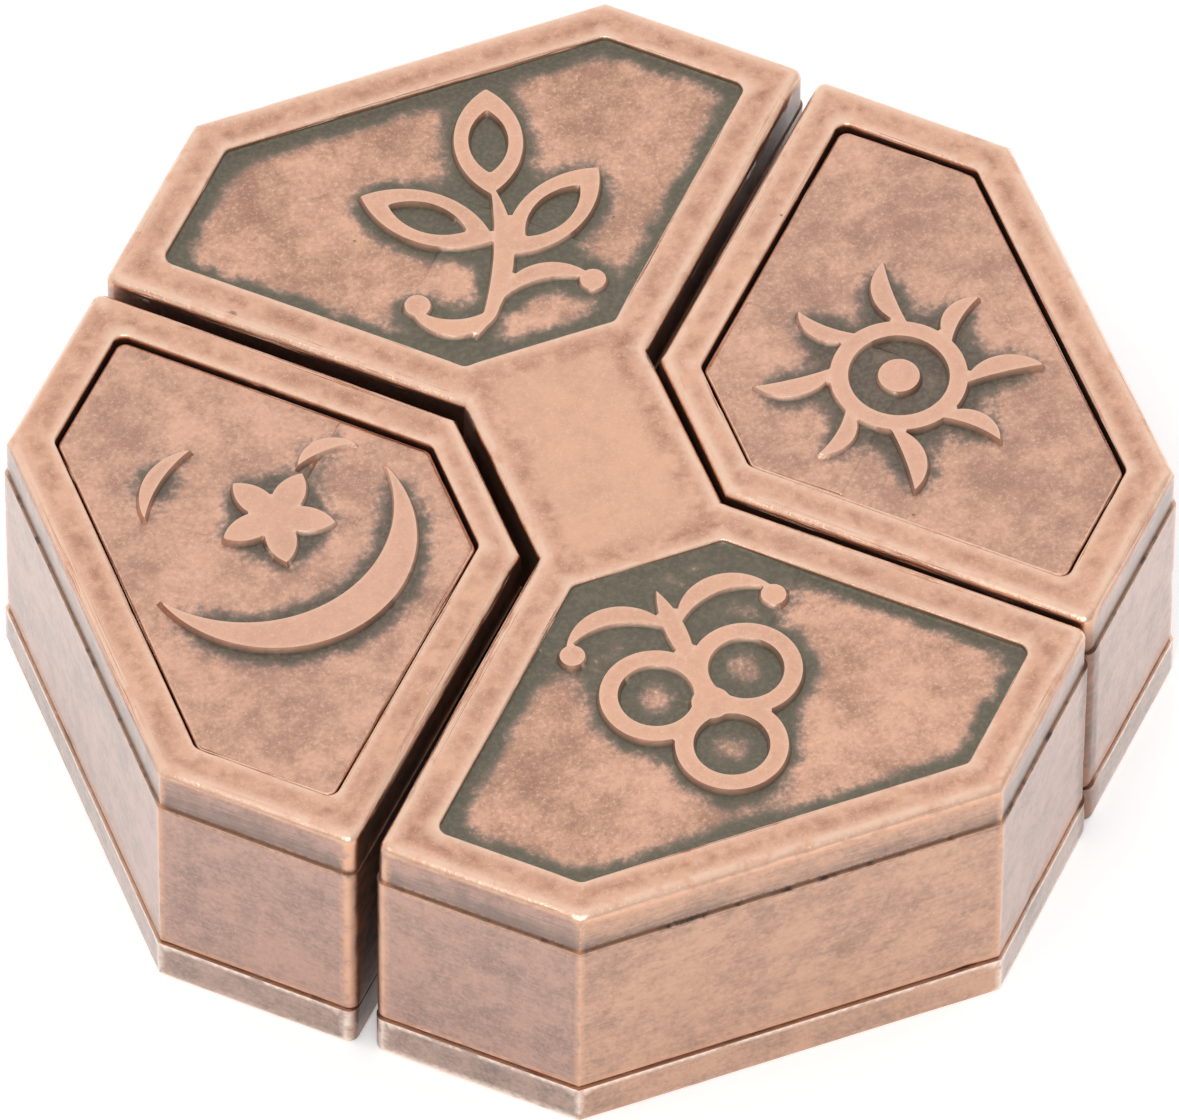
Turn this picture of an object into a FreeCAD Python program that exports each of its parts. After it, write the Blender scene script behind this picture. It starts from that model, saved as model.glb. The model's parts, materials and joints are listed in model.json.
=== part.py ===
import FreeCAD, Part

import math
import os

import Sketcher

# An octagonal take-apart puzzle of cast metal. The north-south half bridges over the east-west half.
# Frame: origin at the centre of the underside, +Z up, +Y north, +X east, millimetres.
# Block numbers are quarter turns from north: north 0, west 1, south 2, east 3.

SIZES = {
    "wall_apothem": 23.0,  # centre to a main wall facet
    "top_step": 0.12,  # the top band stands back from the main wall
    "base_ledge": 0.12,  # the base plates stand out from the main wall
    "thickness": 14.0,
    "band_height": 2.3,  # height of the top band, and of the base plates
    "ns_offset": 0.12,  # gap side of the north-south top band, off the diagonal
    "ew_offset": 0.50,  # gap side of the east-west top band, off the diagonal
    "gap_step": 0.06,  # the main walls stand this much further into the gaps
    "waist_half": 4.2,  # half width of each strip through the middle
    "waist_gap": 0.4,
    "deck_height": 9.3,  # underside of the north-south strip
    "crossing_gap": 0.2,  # the east-west strip passes this far below it
    "ns_shift": 0.17,  # play between the halves: north-south half lies east,
    "ew_shift": -0.11,  # east-west half lies south,
    "ns_turn": 0.25,  # and each is turned a little, in degrees
    "ew_turn": -0.25,
    "rim_width": 2.0,
    "panel_offset": 2.08,  # recess side along a gap, off the diagonal
    "panel_inner": 6.35,
    "panel_depth": 0.35,
    "pocket_offset": 2.3,
    "pocket_inner": 6.1,
    "inlay_gap": 0.12,
    "inlay_sink": 0.3,  # inlay plate below the rim
    "inlay_thickness": 2.0,
    "diamond_reach": 14.8,  # the panels rise a little within abs(x) + abs(y) of this
    "diamond_rise": 0.1,
    "relief_height": 0.3,
    "relief_root": 0.15,  # how deep the relief starts below the panel
    "pin_height": 7.0,
    "pin_reach": 11.0,  # pin axis from the centre, along the diagonal
    "shank_radius": 1.3,
    "head_radius": 2.0,
    "head_length": 1.5,
    "shank_length": 4.1,
    "tip_chamfer": 0.3,
    "tip_setback": 0.4,  # tip of a drawn-in pin behind the diagonal
    "guide_end": 2.2,  # inner end of the guide bore behind the diagonal
    "guide_play": 0.05,
    "chamber_length": 6.0,
    "chamber_play": 0.1,
    "pin_end_play": 0.02,
    "keeper_play": 0.1,  # sides of the keeper in its chamber
    "socket_radius": 1.9,
    "socket_depth": 2.3,
    "cavity_wall": 2.0,
    "cavity_inner": 15.5,
    "ns_cavity_top": 11.0,
    "ew_cavity_top": 10.0,
    "dowel_radius": 0.8,
    "dowel_play": 0.02,
    "dowel_depth": 1.2,  # depth in a plate
    "dowel_root": 2.0,  # depth in a casting
    "inlay_dowel_root": 1.2,
    "corner_radius": 0.5,  # upright corners beside the gaps
    "rim_radius": 0.45,
    "inner_rim_radius": 0.15,
    "inlay_edge_radius": 0.15,
    "panel_corner": 0.5,
    "seam_radius": 0.15,  # lower edge of the main walls
    "foot_radius": 0.3,
}

NORTH, WEST, SOUTH, EAST = range(4)
BLOCK_NAMES = {NORTH: "north", WEST: "west", SOUTH: "south", EAST: "east"}
UP = FreeCAD.Vector(0, 0, 1)
SMALL = 1e-4

# Dowel places in a block that points north.
BASE_DOWELS = [(-5.2, 12.6), (8.4, 12.6)]
INLAY_DOWELS = [(-5.2, 12.6), (7.6, 12.9)]

doc = FreeCAD.newDocument("octagon_puzzle")


def fill_sheet(values):
    """Puts every driving dimension into the spreadsheet under its own alias."""
    sheet = doc.addObject("Spreadsheet::Sheet", "Sizes")
    for row, (alias, value) in enumerate(values.items(), start=1):
        sheet.set(f"A{row}", alias)
        sheet.set(f"B{row}", str(value))
        sheet.setAlias(f"B{row}", alias)
    doc.recompute()
    return sheet


sizes = fill_sheet(SIZES)


def number(expression):
    """The present value of an expression on the sheet."""
    value = sizes.evalExpression(expression)
    return float(getattr(value, "Value", value))


# Levels and outline sizes that follow from the driving dimensions.
BAND = "Sizes.band_height"
TOP = "Sizes.thickness"
TOP_BAND_FOOT = "Sizes.thickness - Sizes.band_height"
DECK = "Sizes.deck_height"
CROSSING_TOP = "(Sizes.deck_height - Sizes.crossing_gap)"
WALL = "Sizes.wall_apothem"
TOP_BAND = "(Sizes.wall_apothem - Sizes.top_step)"
BASE = "(Sizes.wall_apothem + Sizes.base_ledge)"
NS_WALL_OFFSET = "(Sizes.ns_offset - Sizes.gap_step)"
EW_WALL_OFFSET = "(Sizes.ew_offset - Sizes.gap_step)"
BLOCK_INNER = "(Sizes.waist_half + Sizes.waist_gap)"
PANEL_APOTHEM = "(Sizes.wall_apothem - Sizes.rim_width)"
PANEL_FLOOR = "(Sizes.thickness - Sizes.panel_depth)"
INLAY_TOP = "(Sizes.thickness - Sizes.inlay_sink)"
INLAY_FOOT = "(Sizes.thickness - Sizes.inlay_sink - Sizes.inlay_thickness)"
PIN_LENGTH = "(Sizes.head_length + Sizes.shank_length)"
PIN_BACK = f"(Sizes.tip_setback + {PIN_LENGTH} + Sizes.pin_end_play)"
CHAMBER_BACK = "(Sizes.guide_end + Sizes.chamber_length)"
CHAMBER_HALF = "(Sizes.head_radius + Sizes.chamber_play)"
KEEPER_HALF = f"({CHAMBER_HALF} - Sizes.keeper_play)"


def turned(points, quarters):
    """An outline turned about the centre by quarter turns, still as expressions."""
    for _ in range(quarters % 4):
        points = [(f"-({y})", x) for x, y in points]
    return points


def sector(apothem, offset, inner):
    """The quarter of the octagon that points north, cut off at y = inner."""
    side_x = f"(({inner}) - ({offset}) * sqrt(2))"
    corner_x = f"(({apothem}) - ({offset})) / sqrt(2)"
    corner_y = f"(({apothem}) + ({offset})) / sqrt(2)"
    half_edge = f"({apothem}) * tan(22.5)"
    right = [(side_x, inner), (corner_x, corner_y), (half_edge, apothem)]
    left = [(f"-({x})", y) for x, y in reversed(right)]
    return right + left


def strip(apothem, offset, half_width):
    """Two opposite quarters, north and south, joined through the middle."""
    north = sector(apothem, offset, f"({half_width} + ({offset}) * sqrt(2))")
    return north + turned(north, 2)


def blocks(apothem, offset, inner, places):
    """The same quarter outline at each of the given places."""
    return [turned(sector(apothem, offset, inner), place) for place in places]


def rectangle(x_low, x_high, y_low, y_high):
    return [(x_low, y_low), (x_high, y_low), (x_high, y_high), (x_low, y_high)]


def new_body(label, half):
    """A body that carries the small shift and turn of its half of the puzzle."""
    body = doc.addObject("PartDesign::Body", label)
    body.Label = label
    set_half(body, half)
    return body


def set_half(piece, half):
    """Binds a piece's placement to the shift and turn of its half."""
    shift = FreeCAD.Vector(number(f"Sizes.{half}_shift"), 0, 0)
    shift_cell = "Placement.Base.x"
    if half == "ew":
        shift = FreeCAD.Vector(0, number("Sizes.ew_shift"), 0)
        shift_cell = "Placement.Base.y"
    piece.Placement = FreeCAD.Placement(shift, FreeCAD.Rotation(UP, number(f"Sizes.{half}_turn")))
    piece.setExpression(shift_cell, f"Sizes.{half}_shift")
    piece.setExpression("Placement.Rotation.Angle", f"Sizes.{half}_turn")


def new_sketch(body, name, height, angle=0, x="0", y="0"):
    """A sketch on the body's own XY plane, lifted to a height and turned in its plane."""
    sketch = body.newObject("Sketcher::SketchObject", name)
    plane = [item for item in body.Origin.OriginFeatures if item.Role == "XY_Plane"][0]
    sketch.AttachmentSupport = [(plane, "")]
    sketch.MapMode = "FlatFace"
    sketch.AttachmentOffset = FreeCAD.Placement(FreeCAD.Vector(0, 0, 0), FreeCAD.Rotation(UP, angle))
    sketch.setExpression("AttachmentOffset.Base.x", x)
    sketch.setExpression("AttachmentOffset.Base.y", y)
    sketch.setExpression("AttachmentOffset.Base.z", height)
    return sketch


def draw(sketch, outline):
    """Adds a closed outline whose corners are all driven by expressions."""
    corners = [FreeCAD.Vector(number(x), number(y), 0) for x, y in outline]
    first = sketch.GeometryCount
    count = len(corners)
    for index, corner in enumerate(corners):
        sketch.addGeometry(Part.LineSegment(corner, corners[(index + 1) % count]))
    for index in range(count):
        joint = Sketcher.Constraint("Coincident", first + index, 2, first + (index + 1) % count, 1)
        sketch.addConstraint(joint)
    for index, (x, y) in enumerate(outline):
        for kind, expression, value in (
            ("DistanceX", x, corners[index].x),
            ("DistanceY", y, corners[index].y),
        ):
            place = sketch.addConstraint(Sketcher.Constraint(kind, -1, 1, first + index, 1, value))
            sketch.setExpression(f"Constraints[{place}]", expression)


def crossing(place):
    """Where a block's own pin axis crosses the diagonal: sketch angle and centre."""
    bearing = 45 + 90 * place
    x = f"Sizes.pin_reach * cos({bearing})"
    y = f"Sizes.pin_reach * sin({bearing})"
    return bearing - 90, x, y


def pad(body, name, outlines, bottom, length, angle=0, x="0", y="0"):
    sketch = new_sketch(body, f"{name}_sketch", bottom, angle, x, y)
    for outline in outlines:
        draw(sketch, outline)
    feature = body.newObject("PartDesign::Pad", name)
    feature.Profile = sketch
    feature.setExpression("Length", length)
    doc.recompute()
    return feature


def cut(body, name, outlines, bottom, length, angle=0, x="0", y="0"):
    """Cuts upwards from the bottom level by the given length."""
    before = body.Shape.Volume
    sketch = new_sketch(body, f"{name}_sketch", bottom, angle, x, y)
    for outline in outlines:
        draw(sketch, outline)
    feature = body.newObject("PartDesign::Pocket", name)
    feature.Profile = sketch
    feature.Reversed = True
    feature.setExpression("Length", length)
    doc.recompute()
    if body.Shape.Volume > before - SMALL:
        raise RuntimeError(f"{name} cuts nothing")
    return feature


def level_bore(body, name, place, start, radius, length):
    """A round bore along a pin axis, from a distance past the diagonal."""
    before = body.Shape.Volume
    angle, x, y = crossing(place)
    heading = FreeCAD.Vector(math.cos(math.radians(angle)), math.sin(math.radians(angle)), 0)
    bore = body.newObject("PartDesign::SubtractiveCylinder", name)
    bore.Placement = FreeCAD.Placement(FreeCAD.Vector(0, 0, 0), FreeCAD.Rotation(UP, heading))
    bore.setExpression("Placement.Base.x", f"{x} + ({start}) * cos({angle})")
    bore.setExpression("Placement.Base.y", f"{y} + ({start}) * sin({angle})")
    bore.setExpression("Placement.Base.z", "Sizes.pin_height")
    bore.setExpression("Radius", radius)
    bore.setExpression("Height", length)
    doc.recompute()
    if body.Shape.Volume > before - SMALL:
        raise RuntimeError(f"{name} cuts nothing")


def dowel_bores(body, name, spots, bottom, length):
    """Blind upright bores for dowels."""
    for index, (x, y) in enumerate(spots):
        bore = body.newObject("PartDesign::SubtractiveCylinder", f"{name}_{index}")
        bore.Placement.Base = FreeCAD.Vector(x, y, 0)
        bore.setExpression("Placement.Base.z", bottom)
        bore.setExpression("Radius", "Sizes.dowel_radius + Sizes.dowel_play")
        bore.setExpression("Height", length)
    doc.recompute()


def dowels(label, half, spots, bottom, length):
    """One group of equal dowels, each a separate solid."""
    pins = []
    for index, (x, y) in enumerate(spots):
        pin = doc.addObject("Part::Cylinder", f"{label}_{index}")
        pin.Placement.Base = FreeCAD.Vector(x, y, 0)
        pin.setExpression("Placement.Base.z", bottom)
        pin.setExpression("Radius", "Sizes.dowel_radius")
        pin.setExpression("Height", length)
        pins.append(pin)
    group = doc.addObject("Part::Compound", label)
    group.Label = label
    group.Links = pins
    set_half(group, half)
    doc.recompute()
    return group


def spots_at(spots, places):
    """Dowel places of a north block, repeated at the given blocks."""
    result = []
    for place in places:
        for x, y in spots:
            for _ in range(place):
                x, y = -y, x
            result.append((x, y))
    return result


def round_edges(body, name, radius, wanted):
    """Rounds every edge of the body's tip for which wanted(edge) is true."""
    tip = body.Tip
    edges = [f"Edge{index}" for index, edge in enumerate(tip.Shape.Edges, start=1) if wanted(edge)]
    feature = body.newObject("PartDesign::Fillet", name)
    feature.Base = (tip, edges)
    feature.setExpression("Radius", radius)
    doc.recompute()
    return feature


def is_level(edge, height):
    box = edge.BoundBox
    return abs(box.ZMin - height) < SMALL and abs(box.ZMax - height) < SMALL


def beside_gap(edge):
    """True for an upright edge where a gap side meets a diagonal facet."""
    box = edge.BoundBox
    upright = box.XLength < SMALL and box.YLength < SMALL
    middle = box.Center
    nearness = abs(abs(middle.x) - abs(middle.y))
    return upright and nearness < 1.0 and abs(middle.x) > 15.0


def outside_of(edge, apothem_limit, offset_limit, inner_limit):
    """True for an edge that lies between a block's outline and its recess."""
    middle = edge.BoundBox.Center
    across, along = sorted((abs(middle.x), abs(middle.y)))
    past_facet = max(along, (along + across) / math.sqrt(2)) > apothem_limit
    past_side = (along - across) / math.sqrt(2) < offset_limit
    return past_facet or past_side or along < inner_limit


def inner_corner(length):
    """Upright edges of a given length that lie inside the rims."""

    def wanted(edge):
        box = edge.BoundBox
        upright = box.XLength < SMALL and box.YLength < SMALL and abs(box.ZLength - length) < SMALL
        return upright and not outside_of(edge, 22.0, 1.0, 5.5)

    return wanted


def rim_edge(height):
    """Outline edges at a level, leaving out the recesses, cavities and bores."""
    return lambda edge: is_level(edge, height) and outside_of(edge, 22.0, 1.0, 5.5)


def recess_edge(edge):
    """Edges where a recess or pocket opens in the top."""
    return is_level(edge, number(TOP)) and not outside_of(edge, 22.0, 1.0, 5.5)


# Relief strokes. Each blade lies between two arcs over one chord: the sagittas are to the left of
# the way from tip to tip. Ornaments are drawn on a panel that points north.


def polar(centre, radius, degrees):
    angle = math.radians(degrees)
    return centre[0] + radius * math.cos(angle), centre[1] + radius * math.sin(angle)


def bulge_arc(start, end, sagitta):
    """An arc from start to end that swings out by the sagitta to the left."""
    chord = FreeCAD.Vector(end[0] - start[0], end[1] - start[1], 0)
    left = FreeCAD.Vector(-chord.y, chord.x, 0).normalize()
    middle = FreeCAD.Vector(start[0], start[1], 0) + chord * 0.5 + left * sagitta
    return Part.Arc(FreeCAD.Vector(*start, 0), middle, FreeCAD.Vector(*end, 0))


def blade(start, end, first_sagitta, second_sagitta):
    return [bulge_arc(start, end, first_sagitta), bulge_arc(start, end, second_sagitta)]


def open_leaf(start, end, half_width, stroke):
    """A pointed leaf with a pointed opening, so that only its outline stands up."""
    length = math.dist(start, end)
    inset = 0.45 * stroke * length / half_width / length
    inner_start = tuple(a + (b - a) * inset for a, b in zip(start, end, strict=True))
    inner_end = tuple(b + (a - b) * inset for a, b in zip(start, end, strict=True))
    inner = half_width - stroke
    return blade(start, end, half_width, -half_width) + blade(inner_start, inner_end, inner, -inner)


def disc(centre, radius):
    return [Part.Circle(FreeCAD.Vector(*centre, 0), UP, radius)]


def ring(centre, outer, inner):
    return disc(centre, outer) + disc(centre, inner)


def sprig():
    """Three open leaves on a bent stem with two curled tendrils."""
    strokes = [blade((-2.6, 7.4), (1.2, 15.6), -1.5, -0.5)]
    strokes.append(open_leaf((1.0, 14.6), (2.9, 20.2), 1.55, 0.75))
    strokes.append(open_leaf((0.3, 12.2), (-4.3, 16.6), 1.45, 0.72))
    strokes.append(open_leaf((0.4, 11.3), (5.9, 14.4), 1.45, 0.72))
    strokes.append(blade((-0.6, 9.2), (-4.4, 10.4), 2.0, 1.0))
    strokes.append(disc((-4.1, 10.1), 0.62))
    strokes.append(blade((-0.9, 8.9), (3.6, 8.6), 1.7, 0.75))
    strokes.append(disc((3.4, 8.75), 0.62))
    return strokes


def sun():
    """A ring and a boss with eight curved rays."""
    centre = (0.6, 13.8)
    strokes = [ring(centre, 3.0, 2.1), disc(centre, 0.95)]
    for index in range(8):
        angle = 22.5 + 45 * index
        length, inner_sagitta = (6.3, 0.12) if index % 2 else (5.6, 0.25)
        root = polar(centre, 2.75, angle - 9)
        tip = polar(centre, length, angle + 7)
        strokes.append(blade(root, tip, 1.15, inner_sagitta))
    return strokes


def trefoil():
    """Three rings about a boss, on a short stalk with two curled arms."""
    centre = (0.2, 14.2)
    strokes = [disc(centre, 0.9)]
    for index in range(3):
        strokes.append(ring(polar(centre, 2.35, 90 + 120 * index), 2.45, 1.55))
    strokes.append(blade((0.1, 10.2), (-4.6, 9.6), 2.0, 1.0))
    strokes.append(disc((-4.35, 9.8), 0.6))
    strokes.append(blade((0.3, 10.2), (5.0, 9.6), -2.0, -1.0))
    strokes.append(disc((4.75, 9.8), 0.6))
    strokes.append(blade((0.2, 12.6), (0.2, 7.7), 0.5, -0.5))
    return strokes


def moon():
    """A crescent round a five-petalled flower, with two loose blades beyond it."""
    centre = (1.6, 13.6)
    strokes = [blade((2.9, 8.4), (-0.6, 19.9), 6.6, 4.7)]
    for index in range(5):
        angle = 98 + 72 * index
        strokes.append(blade(polar(centre, -0.25, angle), polar(centre, 2.6, angle), 0.72, -0.72))
    strokes.append(blade((3.2, 18.9), (6.2, 15.6), 1.2, 0.4))
    strokes.append(blade((3.7, 11.9), (4.0, 9.0), 1.0, 0.25))
    return strokes


ORNAMENTS = {NORTH: sprig, WEST: moon, SOUTH: trefoil, EAST: sun}


def add_relief(body, place, panel_top):
    """Raises one block's ornament above its panel."""
    for index, stroke in enumerate(ORNAMENTS[place]()):
        name = f"{BLOCK_NAMES[place]}_stroke_{index}"
        sketch = new_sketch(body, f"{name}_sketch", f"{panel_top} - Sizes.relief_root", 90 * place)
        for curve in stroke:
            sketch.addGeometry(curve)
        feature = body.newObject("PartDesign::Pad", name)
        feature.Profile = sketch
        feature.setExpression("Length", "Sizes.relief_root + Sizes.relief_height")
    doc.recompute()


def add_diamond(body, place, panel_top, offset, inner):
    """The faint raised field in the inner part of a panel."""
    side = f"({inner} - ({offset}) * sqrt(2))"
    reach = "Sizes.diamond_reach"
    corner_x = f"({reach} - ({offset}) * sqrt(2)) / 2"
    corner_y = f"({reach} + ({offset}) * sqrt(2)) / 2"
    right = [(side, inner), (corner_x, corner_y)]
    left = [(f"-({x})", y) for x, y in reversed(right)]
    outline = turned(right + [("0", reach)] + left, place)
    name = f"{BLOCK_NAMES[place]}_diamond"
    root = f"{panel_top} - Sizes.relief_root"
    return pad(body, name, [outline], root, "Sizes.relief_root + Sizes.diamond_rise")


def chamber_outline():
    """Plan of a pin chamber: x along the pin, y across it, from the diagonal inwards."""
    return rectangle(f"-{CHAMBER_BACK}", "-Sizes.guide_end", f"-{CHAMBER_HALF}", CHAMBER_HALF)


def add_keeper(body, place, bottom, length, post_bottom, post_length):
    """What a plate puts into a pin chamber: a rail along the pin and a post behind its head."""
    angle, x, y = crossing(place)
    name = BLOCK_NAMES[place]
    back = f"-({CHAMBER_BACK} - Sizes.keeper_play)"
    front = "-(Sizes.guide_end + Sizes.keeper_play)"
    rail = rectangle(back, front, f"-{KEEPER_HALF}", KEEPER_HALF)
    pad(body, f"{name}_keeper_rail", [rail], bottom, length, angle, x, y)
    post = rectangle(back, f"-{PIN_BACK}", f"-{KEEPER_HALF}", KEEPER_HALF)
    pad(body, f"{name}_keeper_post", [post], post_bottom, post_length, angle, x, y)


def add_locks(body, half_offset, places):
    """Guide bores for a half's own pins, and sockets for those of its neighbours."""
    for place in places:
        name = BLOCK_NAMES[place]
        guide_start = "-(Sizes.guide_end + 0.5)"
        level_bore(
            body,
            f"{name}_guide",
            place,
            guide_start,
            "Sizes.shank_radius + Sizes.guide_play",
            "Sizes.guide_end + 0.5",
        )
        level_bore(
            body,
            f"{name}_socket",
            (place + 1) % 4,
            half_offset,
            "Sizes.socket_radius",
            "Sizes.socket_depth",
        )


def make_ns_body():
    body = new_body("ns_body", "ns")
    both = (NORTH, SOUTH)
    half = "Sizes.waist_half"
    pad(body, "upper_strip", [strip(WALL, NS_WALL_OFFSET, half)], DECK, f"{TOP_BAND_FOOT} - {DECK}")
    pad(body, "lower_walls", blocks(WALL, NS_WALL_OFFSET, BLOCK_INNER, both), BAND, f"{DECK} - {BAND}")
    pad(body, "top_band", [strip(TOP_BAND, "Sizes.ns_offset", half)], TOP_BAND_FOOT, BAND)
    recess = blocks(PANEL_APOTHEM, "Sizes.panel_offset", "Sizes.panel_inner", both)
    cut(body, "panels", recess, PANEL_FLOOR, "Sizes.panel_depth")
    panel_corners = inner_corner(number("Sizes.panel_depth"))
    round_edges(body, "panel_corners", "Sizes.panel_corner", panel_corners)
    cavity = blocks(
        f"({WALL} - Sizes.cavity_wall)", "(Sizes.cavity_wall + Sizes.ns_offset)", "Sizes.cavity_inner", both
    )
    cut(body, "cavities", cavity, BAND, f"Sizes.ns_cavity_top - {BAND}")
    chamber_height = f"Sizes.pin_height + {CHAMBER_HALF} - {BAND}"
    for place in both:
        name = f"{BLOCK_NAMES[place]}_chamber"
        cut(body, name, [chamber_outline()], BAND, chamber_height, *crossing(place))
    add_locks(body, NS_WALL_OFFSET, both)
    dowel_bores(body, "dowel_bore", spots_at(BASE_DOWELS, both), BAND, "Sizes.dowel_root")
    round_edges(body, "gap_corners", "Sizes.corner_radius", beside_gap)
    round_edges(body, "inner_rim", "Sizes.inner_rim_radius", recess_edge)
    round_edges(body, "rim", "Sizes.rim_radius", rim_edge(number(TOP)))
    round_edges(body, "seam", "Sizes.seam_radius", rim_edge(number(BAND)))
    for place in both:
        add_diamond(body, place, PANEL_FLOOR, "Sizes.panel_offset", "Sizes.panel_inner")
        add_relief(body, place, PANEL_FLOOR)
    return body


def make_ew_body():
    body = new_body("ew_body", "ew")
    both = (WEST, EAST)
    lower = turned(strip(WALL, EW_WALL_OFFSET, "Sizes.waist_half"), 1)
    pad(body, "lower_strip", [lower], BAND, f"{CROSSING_TOP} - {BAND}")
    upper = blocks(WALL, EW_WALL_OFFSET, BLOCK_INNER, both)
    pad(body, "upper_walls", upper, CROSSING_TOP, f"{TOP_BAND_FOOT} - {CROSSING_TOP}")
    pad(body, "top_band", blocks(TOP_BAND, "Sizes.ew_offset", BLOCK_INNER, both), TOP_BAND_FOOT, BAND)
    pocket = blocks(PANEL_APOTHEM, "Sizes.pocket_offset", "Sizes.pocket_inner", both)
    cut(body, "inlay_pockets", pocket, INLAY_FOOT, f"{TOP} - {INLAY_FOOT}")
    pocket_corners = inner_corner(number(f"{TOP} - {INLAY_FOOT}"))
    round_edges(body, "pocket_corners", "Sizes.panel_corner", pocket_corners)
    cavity = blocks(
        f"({WALL} - Sizes.cavity_wall)", "(Sizes.cavity_wall + Sizes.ew_offset)", "Sizes.cavity_inner", both
    )
    cut(body, "cavities", cavity, BAND, f"Sizes.ew_cavity_top - {BAND}")
    chamber_floor = f"Sizes.pin_height - {CHAMBER_HALF}"
    for place in both:
        name = f"{BLOCK_NAMES[place]}_chamber"
        depth = f"{INLAY_FOOT} - ({chamber_floor})"
        cut(body, name, [chamber_outline()], chamber_floor, depth, *crossing(place))
    add_locks(body, EW_WALL_OFFSET, both)
    dowel_bores(body, "dowel_bore", spots_at(BASE_DOWELS, both), BAND, "Sizes.dowel_root")
    inlay_spots = spots_at(INLAY_DOWELS, both)
    root = f"{INLAY_FOOT} - Sizes.inlay_dowel_root"
    dowel_bores(body, "inlay_dowel_bore", inlay_spots, root, "Sizes.inlay_dowel_root")
    round_edges(body, "gap_corners", "Sizes.corner_radius", beside_gap)
    round_edges(body, "inner_rim", "Sizes.inner_rim_radius", recess_edge)
    round_edges(body, "rim", "Sizes.rim_radius", rim_edge(number(TOP)))
    round_edges(body, "seam", "Sizes.seam_radius", rim_edge(number(BAND)))
    return body


def make_base_plate(label, half, outlines, places):
    """A flat plate under one block, or under both of the east-west half."""
    body = new_body(label, half)
    pad(body, "plate", outlines, "0", BAND)
    root = f"{BAND} - Sizes.dowel_depth"
    dowel_bores(body, "dowel_bore", spots_at(BASE_DOWELS, places), root, "Sizes.dowel_depth")
    round_edges(body, "gap_corners", "Sizes.corner_radius", beside_gap)
    round_edges(body, "foot", "Sizes.foot_radius", lambda edge: is_level(edge, 0))
    return body


def make_ns_base_plate(place):
    label = f"{BLOCK_NAMES[place]}_base_plate"
    outlines = blocks(BASE, NS_WALL_OFFSET, BLOCK_INNER, [place])
    body = make_base_plate(label, "ns", outlines, [place])
    rail_height = f"Sizes.pin_height - {CHAMBER_HALF} - {BAND}"
    post_height = f"Sizes.pin_height + {KEEPER_HALF} - {BAND}"
    add_keeper(body, place, BAND, rail_height, BAND, post_height)
    return body


def make_ew_base_plate():
    outline = turned(strip(BASE, EW_WALL_OFFSET, "Sizes.waist_half"), 1)
    return make_base_plate("ew_base_plate", "ew", [outline], [WEST, EAST])


def make_inlay_plate(place):
    """A relief plate that drops into its frame and closes the pin chamber below it."""
    body = new_body(f"{BLOCK_NAMES[place]}_inlay_plate", "ew")
    apothem = f"({PANEL_APOTHEM} - Sizes.inlay_gap)"
    offset = "(Sizes.pocket_offset + Sizes.inlay_gap)"
    inner = "(Sizes.pocket_inner + Sizes.inlay_gap)"
    pad(body, "plate", blocks(apothem, offset, inner, [place]), INLAY_FOOT, "Sizes.inlay_thickness")
    dowel_bores(
        body, "dowel_bore", spots_at(INLAY_DOWELS, [place]), INLAY_FOOT, "Sizes.dowel_depth"
    )
    rail_foot = f"Sizes.pin_height + {CHAMBER_HALF}"
    post_foot = f"Sizes.pin_height - {KEEPER_HALF}"
    add_keeper(
        body, place, rail_foot, f"{INLAY_FOOT} - ({rail_foot})", post_foot, f"{INLAY_FOOT} - ({post_foot})"
    )
    plate_corners = inner_corner(number("Sizes.inlay_thickness"))
    round_edges(body, "plate_corners", "Sizes.panel_corner", plate_corners)
    plate_edge = number(INLAY_TOP)
    round_edges(
        body, "plate_edge", "Sizes.inlay_edge_radius", lambda edge: is_level(edge, plate_edge)
    )
    flat_offset = f"({offset} + Sizes.inlay_edge_radius)"
    flat_inner = f"({inner} + Sizes.inlay_edge_radius)"
    add_diamond(body, place, INLAY_TOP, flat_offset, flat_inner)
    add_relief(body, place, INLAY_TOP)
    return body


def make_lock_pin(place, half):
    """A headed pin, turned about its own axis, drawn back into its block."""
    body = new_body(f"{BLOCK_NAMES[place]}_lock_pin", half)
    sketch = new_sketch(body, "profile", "Sizes.pin_height", *crossing(place))
    tip = "-Sizes.tip_setback"
    shoulder = f"({tip} - Sizes.shank_length)"
    back = f"({shoulder} - Sizes.head_length)"
    outline = [
        (back, "0"),
        (tip, "0"),
        (tip, "Sizes.shank_radius - Sizes.tip_chamfer"),
        (f"{tip} - Sizes.tip_chamfer", "Sizes.shank_radius"),
        (shoulder, "Sizes.shank_radius"),
        (shoulder, "Sizes.head_radius"),
        (f"{back} + Sizes.tip_chamfer", "Sizes.head_radius"),
        (back, "Sizes.head_radius - Sizes.tip_chamfer"),
    ]
    draw(sketch, outline)
    turning = body.newObject("PartDesign::Revolution", "turning")
    turning.Profile = sketch
    turning.ReferenceAxis = (sketch, ["H_Axis"])
    turning.Angle = 360
    doc.recompute()
    return body


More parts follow.
